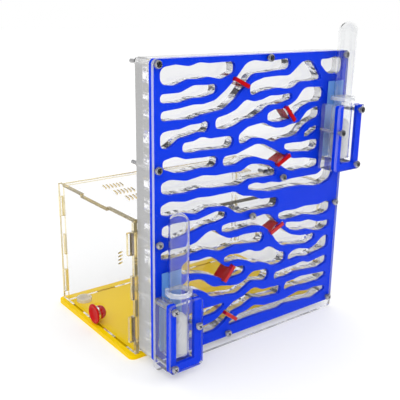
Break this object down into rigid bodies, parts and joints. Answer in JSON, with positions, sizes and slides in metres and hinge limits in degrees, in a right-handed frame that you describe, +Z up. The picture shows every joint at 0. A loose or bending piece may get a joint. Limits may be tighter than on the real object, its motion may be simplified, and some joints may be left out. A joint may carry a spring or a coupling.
{
  "type": "ant habitat",
  "caption": "Upright ant habitat: layered acrylic nest with wavy galleries, sliding gates and water tube docks, bolted in front of a lidded foraging box.",
  "frame": {"origin": "on the ground under the middle of the whole habitat", "axes": "+Z up, +Y from the nest's face towards the foraging box, +X to the right seen from the nest's face"},
  "size_m": [0.215, 0.1812, 0.2638],
  "materials": {
    "clear_acrylic": "polished",
    "box_acrylic": "polished",
    "blue_acrylic": "polished",
    "frosted_acrylic": "frosted",
    "yellow_acrylic": "polished",
    "red_acrylic": "polished",
    "tube_glass": "polished",
    "collar": "polished",
    "cotton": "fluffy",
    "red_rubber": "satin",
    "dish_plastic": "satin",
    "steel": "bright"
  },
  "bodies": {
    "nest": {"box_back_wall": "box_acrylic", "box_base": "yellow_acrylic", "box_front_wall": "box_acrylic", "box_left_wall": "box_acrylic", "box_nuts": "steel", "box_right_wall": "box_acrylic", "box_spacers": "steel", "feeding_dish": "dish_plastic", "left_dock_frame": "blue_acrylic", "left_dock_layer_1": "clear_acrylic", "left_dock_layer_2": "clear_acrylic", "left_dock_layer_3": "clear_acrylic", "left_dock_screws": "steel", "left_dock_window": "clear_acrylic", "left_tube_backing": "frosted_acrylic", "nest_back_plate": "clear_acrylic", "nest_cover": "clear_acrylic", "nest_gallery_block": "clear_acrylic", "nest_gallery_plate": "blue_acrylic", "nest_nuts": "steel", "nest_screws": "steel", "passage_sleeve": "clear_acrylic", "right_dock_frame": "blue_acrylic", "right_dock_layer_1": "clear_acrylic", "right_dock_layer_2": "clear_acrylic", "right_dock_layer_3": "clear_acrylic", "right_dock_screws": "steel", "right_dock_window": "clear_acrylic", "right_tube_backing": "frosted_acrylic"},
    "left_tube": {"left_water_tube": "tube_glass", "left_tube_collar": "collar", "left_cotton_plug": "cotton"},
    "right_tube": {"right_water_tube": "tube_glass", "right_tube_collar": "collar", "right_cotton_plug": "cotton"},
    "lid": {"box_lid": "box_acrylic"},
    "plug": {"port_plug": "red_rubber"},
    "gate_1": {"gate_1": "red_acrylic"},
    "gate_2": {"gate_2": "red_acrylic"},
    "gate_3": {"gate_3": "red_acrylic"},
    "gate_4": {"gate_4": "red_acrylic"},
    "gate_5": {"gate_5": "red_acrylic"},
    "gate_6": {"gate_6": "red_acrylic"}
  },
  "joints": [
    {"name": "gate_1_pull", "type": "slide", "parent": "nest", "child": "gate_1", "axis": [0, -1, 0], "range_m": [0, 0.02]},
    {"name": "gate_2_pull", "type": "slide", "parent": "nest", "child": "gate_2", "axis": [0, -1, 0], "range_m": [0, 0.02]},
    {"name": "gate_3_pull", "type": "slide", "parent": "nest", "child": "gate_3", "axis": [0, -1, 0], "range_m": [0, 0.02]},
    {"name": "gate_4_pull", "type": "slide", "parent": "nest", "child": "gate_4", "axis": [0, -1, 0], "range_m": [0, 0.02]},
    {"name": "gate_5_pull", "type": "slide", "parent": "nest", "child": "gate_5", "axis": [0, -1, 0], "range_m": [0, 0.02]},
    {"name": "gate_6_pull", "type": "slide", "parent": "nest", "child": "gate_6", "axis": [0, -1, 0], "range_m": [0, 0.02]},
    {"name": "left_tube_lift", "type": "slide", "parent": "nest", "child": "left_tube", "axis": [0, 0, 1], "range_m": [0, 0.06]},
    {"name": "right_tube_lift", "type": "slide", "parent": "nest", "child": "right_tube", "axis": [0, 0, 1], "range_m": [0, 0.06]},
    {"name": "lid_lift", "type": "slide", "parent": "nest", "child": "lid", "axis": [0, 0, 1], "range_m": [0, 0.015]},
    {"name": "plug_pull", "type": "slide", "parent": "nest", "child": "plug", "axis": [-1, 0, 0], "range_m": [0, 0.018]}
  ]
}
